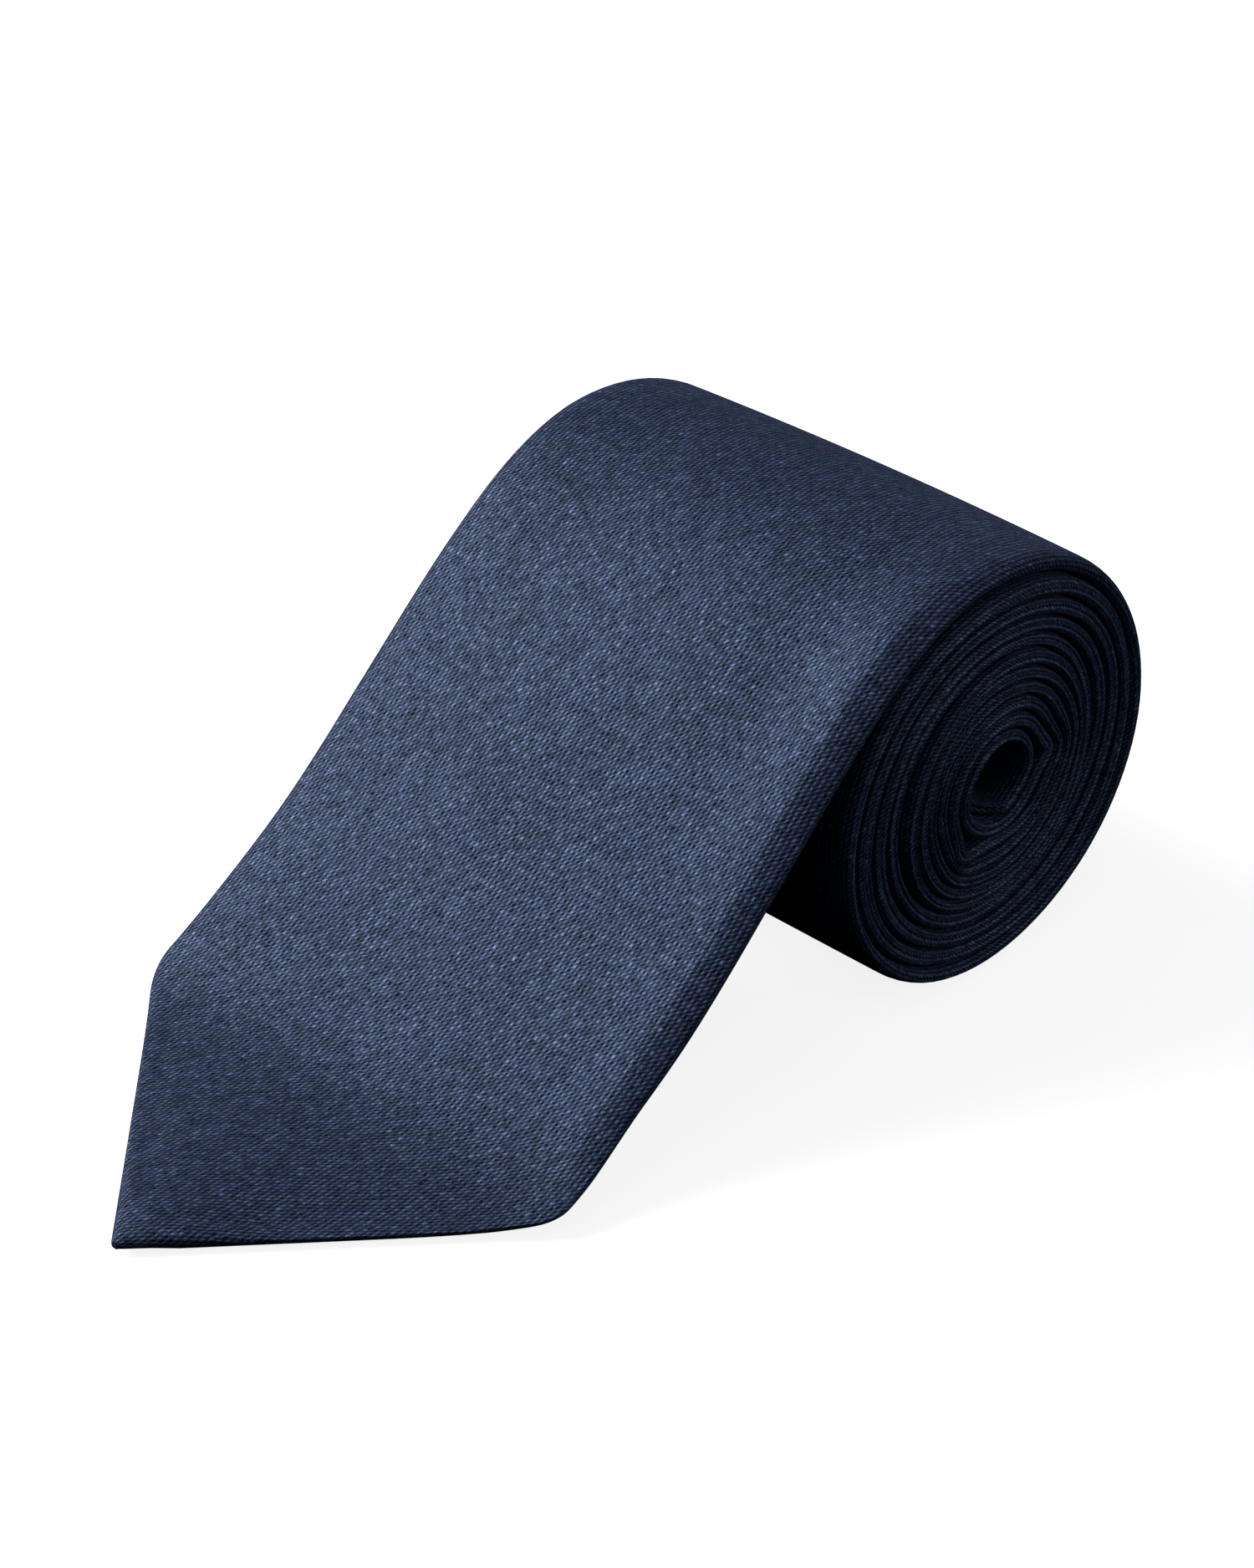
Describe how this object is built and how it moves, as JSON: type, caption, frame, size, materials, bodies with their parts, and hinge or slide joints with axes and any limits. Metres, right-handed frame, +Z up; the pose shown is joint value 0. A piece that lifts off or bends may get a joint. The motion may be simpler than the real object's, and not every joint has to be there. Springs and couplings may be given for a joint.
{
  "type": "necktie",
  "caption": "Necktie rolled up from its narrow tail, with the wide blade drawn off the top of the roll and laid flat in front of it.",
  "frame": {"origin": "middle of the underside of the whole object, on the table", "axes": "+Y from the blade's apex towards the back of the roll, +X along the roll to its flush end, +Z up"},
  "size_m": [0.08, 0.158, 0.0628],
  "materials": {
    "shell_cloth": "navy micro-patterned weave with a soft sheen, cut on the bias",
    "interlining_wool": "brushed wool-blend interlining",
    "tipping_lining": "smooth satin lining",
    "sewing_thread": "twisted navy thread",
    "label_satin": "blank woven satin label"
  },
  "bodies": {
    "roll": {"blade_shell_wound": "shell_cloth", "neck_shell": "shell_cloth", "tail_shell": "shell_cloth", "blade_interlining_wound": "interlining_wool", "tail_interlining": "interlining_wool", "tail_tipping": "tipping_lining", "slip_stitch_thread": "sewing_thread", "neck_seam_thread": "sewing_thread", "tail_seam_thread": "sewing_thread", "keeper_loop": "shell_cloth", "keeper_loop_tacks": "sewing_thread", "blank_label": "label_satin", "care_label": "label_satin", "tail_bar_tack": "sewing_thread"},
    "blade": {"blade_shell_drawn": "shell_cloth", "blade_interlining_drawn": "interlining_wool", "blade_tipping_drawn": "tipping_lining", "blade_bar_tack": "sewing_thread", "slip_stitch_loop": "sewing_thread"},
    "blade_tip": {"blade_shell_tip": "shell_cloth", "blade_interlining_tip": "interlining_wool", "blade_tipping_tip": "tipping_lining", "tip_hem_stitches": "sewing_thread"}
  },
  "joints": [
    {"name": "blade_lift", "type": "hinge", "parent": "roll", "child": "blade", "pos_m": [0, 0.03254, 0.05882], "axis": [-1, 0, 0], "range_deg": [0, 90]},
    {"name": "tip_lift", "type": "hinge", "parent": "blade", "child": "blade_tip", "pos_m": [0, -0.04296, 0.0026], "axis": [-1, 0, 0], "range_deg": [0, 100]}
  ]
}
